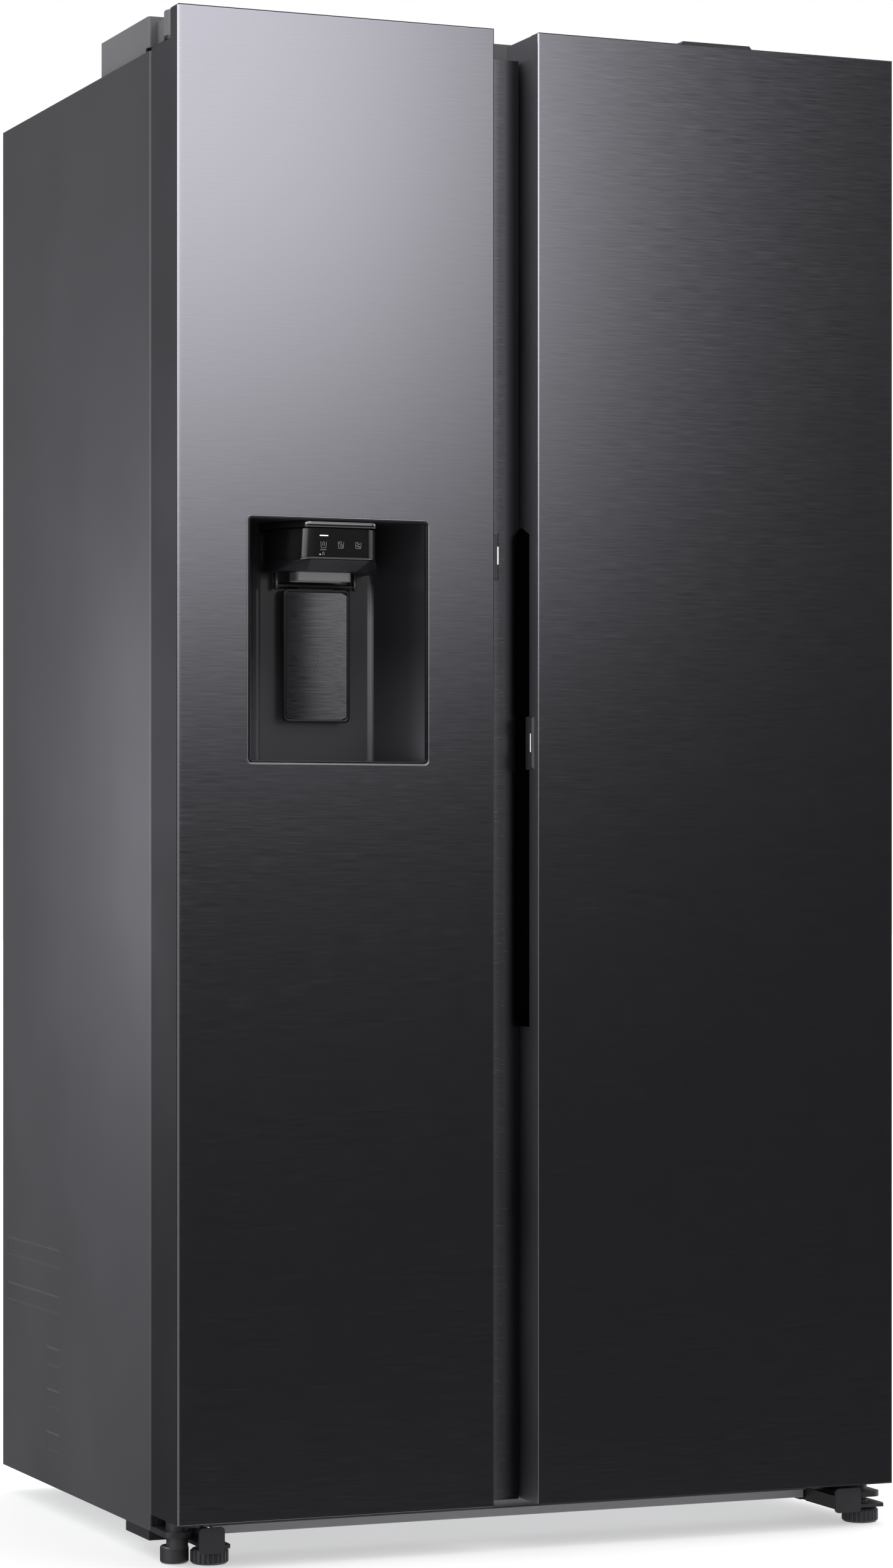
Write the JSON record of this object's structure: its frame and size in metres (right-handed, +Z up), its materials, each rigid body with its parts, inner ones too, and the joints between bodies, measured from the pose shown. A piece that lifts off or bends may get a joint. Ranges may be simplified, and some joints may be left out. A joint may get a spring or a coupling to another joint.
{
  "type": "refrigerator freezer",
  "caption": "Tall side-by-side refrigerator-freezer with a narrow left door holding an ice and water dispenser, a wide right door and a recessed grip channel between them.",
  "frame": {"origin": "on the floor under the middle of the bounding box", "axes": "+Z up, the doors face -Y, +X to the right seen from the front"},
  "size_m": [0.912, 0.716, 1.78],
  "materials": {
    "graphite_steel": "horizontally brushed, dark coated",
    "case_paint": "satin dark grey paint",
    "zinc_sheet": "satin galvanised sheet",
    "rail_paint": "satin grey paint",
    "cover_plastic": "satin grey moulding",
    "insulation": "matte rigid foam",
    "door_body": "matte dark end faces over rigid foam",
    "liner_white": "satin white liner",
    "seal_rubber": "matte grey",
    "black_steel": "satin black",
    "foot_plastic": "matte black",
    "bright_rim": "satin bright",
    "gloss_black": "gloss",
    "lever_steel": "brushed dark",
    "pale_plastic": "satin pale grey",
    "ice_plastic": "satin",
    "shelf_glass": "clear toughened",
    "clear_plastic": "clear",
    "coil_aluminium": "satin",
    "machine_black": "satin black",
    "fan_plastic": "matte",
    "sensor_plastic": "satin dark grey",
    "valve_plastic": "matte"
  },
  "bodies": {
    "cabinet": {"side_panel_left": "case_paint", "side_panel_right": "case_paint", "top_panel": "case_paint", "back_panel": "zinc_sheet", "base_plate": "zinc_sheet", "mullion_strip": "case_paint", "front_rail": "rail_paint", "insulation_foam": "insulation", "freezer_liner": "liner_white", "fridge_liner": "liner_white", "upper_hinges": "black_steel", "lower_hinges": "black_steel", "leg_brackets": "black_steel", "top_cover": "cover_plastic", "roller_brackets": "zinc_sheet", "compressor_base": "zinc_sheet", "machine_cover": "zinc_sheet", "compressor": "machine_black", "condenser": "coil_aluminium", "drain_pan": "machine_black", "water_valve": "valve_plastic", "power_inlet": "fan_plastic", "freezer_shelves": "shelf_glass", "evaporator_cover": "liner_white", "evaporator": "coil_aluminium", "air_duct": "liner_white", "fridge_shelves": "shelf_glass"},
    "freezer_door": {"left_door_panel": "graphite_steel", "left_door_core": "door_body", "channel_strip": "graphite_steel", "left_door_liner": "liner_white", "left_door_gasket": "seal_rubber", "left_touch_sensor": "sensor_plastic", "freezer_door_bins": "clear_plastic", "dispenser_frame": "bright_rim", "dispenser_recess": "gloss_black", "dispenser_control": "gloss_black", "ice_chute": "pale_plastic", "ice_bucket": "ice_plastic", "ice_maker": "ice_plastic"},
    "fridge_door": {"right_door_panel": "graphite_steel", "right_door_core": "door_body", "grip_pocket": "gloss_black", "right_door_liner": "liner_white", "right_door_gasket": "seal_rubber", "right_touch_sensor": "sensor_plastic", "fridge_door_bins": "clear_plastic"},
    "dispenser_lever": {"dispenser_lever": "lever_steel"},
    "ice_flap": {"ice_flap": "pale_plastic"},
    "ice_auger": {"ice_auger": "ice_plastic"},
    "freezer_drawer_upper": {"freezer_drawer_upper": "clear_plastic"},
    "freezer_drawer_lower": {"freezer_drawer_lower": "clear_plastic"},
    "crisper_upper": {"crisper_upper": "clear_plastic"},
    "crisper_lower": {"crisper_lower": "clear_plastic"},
    "levelling_foot_left": {"levelling_foot_left": "foot_plastic"},
    "levelling_foot_right": {"levelling_foot_right": "foot_plastic"},
    "roller_left": {"roller_left": "foot_plastic"},
    "roller_right": {"roller_right": "foot_plastic"},
    "condenser_fan": {"condenser_fan": "fan_plastic"},
    "evaporator_fan": {"evaporator_fan": "fan_plastic"}
  },
  "joints": [
    {"name": "freezer_door_hinge", "type": "hinge", "parent": "cabinet", "child": "freezer_door", "pos_m": [-0.437, -0.301, 0.9], "axis": [0, 0, 1], "range_deg": [-120, 0]},
    {"name": "fridge_door_hinge", "type": "hinge", "parent": "cabinet", "child": "fridge_door", "pos_m": [0.437, -0.301, 0.9], "axis": [0, 0, 1], "range_deg": [0, 120]},
    {"name": "lever_pivot", "type": "hinge", "parent": "freezer_door", "child": "dispenser_lever", "pos_m": [-0.261, -0.28, 1.122], "axis": [1, 0, 0], "range_deg": [0, 3.5], "stiffness_Nm_per_rad": 4, "springref_deg": -5.73},
    {"name": "ice_flap_pivot", "type": "hinge", "parent": "freezer_door", "child": "ice_flap", "pos_m": [-0.261, -0.2705, 1.253], "axis": [1, 0, 0], "range_deg": [-42, 0], "stiffness_Nm_per_rad": 0.2, "springref_deg": 8.59},
    {"name": "ice_auger_spin", "type": "hinge", "parent": "freezer_door", "child": "ice_auger", "pos_m": [-0.231, -0.21, 1.228], "axis": [1, 0, 0], "continuous": true},
    {"name": "freezer_drawer_upper_slide", "type": "slide", "parent": "cabinet", "child": "freezer_drawer_upper", "axis": [0, -1, 0], "range_m": [0, 0.068]},
    {"name": "freezer_drawer_lower_slide", "type": "slide", "parent": "cabinet", "child": "freezer_drawer_lower", "axis": [0, -1, 0], "range_m": [0, 0.068]},
    {"name": "crisper_upper_slide", "type": "slide", "parent": "cabinet", "child": "crisper_upper", "axis": [0, -1, 0], "range_m": [0, 0.068]},
    {"name": "crisper_lower_slide", "type": "slide", "parent": "cabinet", "child": "crisper_lower", "axis": [0, -1, 0], "range_m": [0, 0.068]},
    {"name": "left_foot_turn", "type": "hinge", "parent": "cabinet", "child": "levelling_foot_left", "pos_m": [-0.402, -0.312, 0.01], "axis": [0, 0, 1], "continuous": true},
    {"name": "right_foot_turn", "type": "hinge", "parent": "cabinet", "child": "levelling_foot_right", "pos_m": [0.4335, -0.317, 0.01], "axis": [0, 0, 1], "continuous": true},
    {"name": "left_roller_spin", "type": "hinge", "parent": "cabinet", "child": "roller_left", "pos_m": [-0.345, 0.282, 0.02], "axis": [1, 0, 0], "continuous": true},
    {"name": "right_roller_spin", "type": "hinge", "parent": "cabinet", "child": "roller_right", "pos_m": [0.345, 0.282, 0.02], "axis": [1, 0, 0], "continuous": true},
    {"name": "condenser_fan_spin", "type": "hinge", "parent": "cabinet", "child": "condenser_fan", "pos_m": [-0.047, 0.269, 0.119], "axis": [1, 0, 0], "continuous": true},
    {"name": "evaporator_fan_spin", "type": "hinge", "parent": "cabinet", "child": "evaporator_fan", "pos_m": [-0.2295, 0.254, 1.53], "axis": [0, 1, 0], "continuous": true}
  ]
}
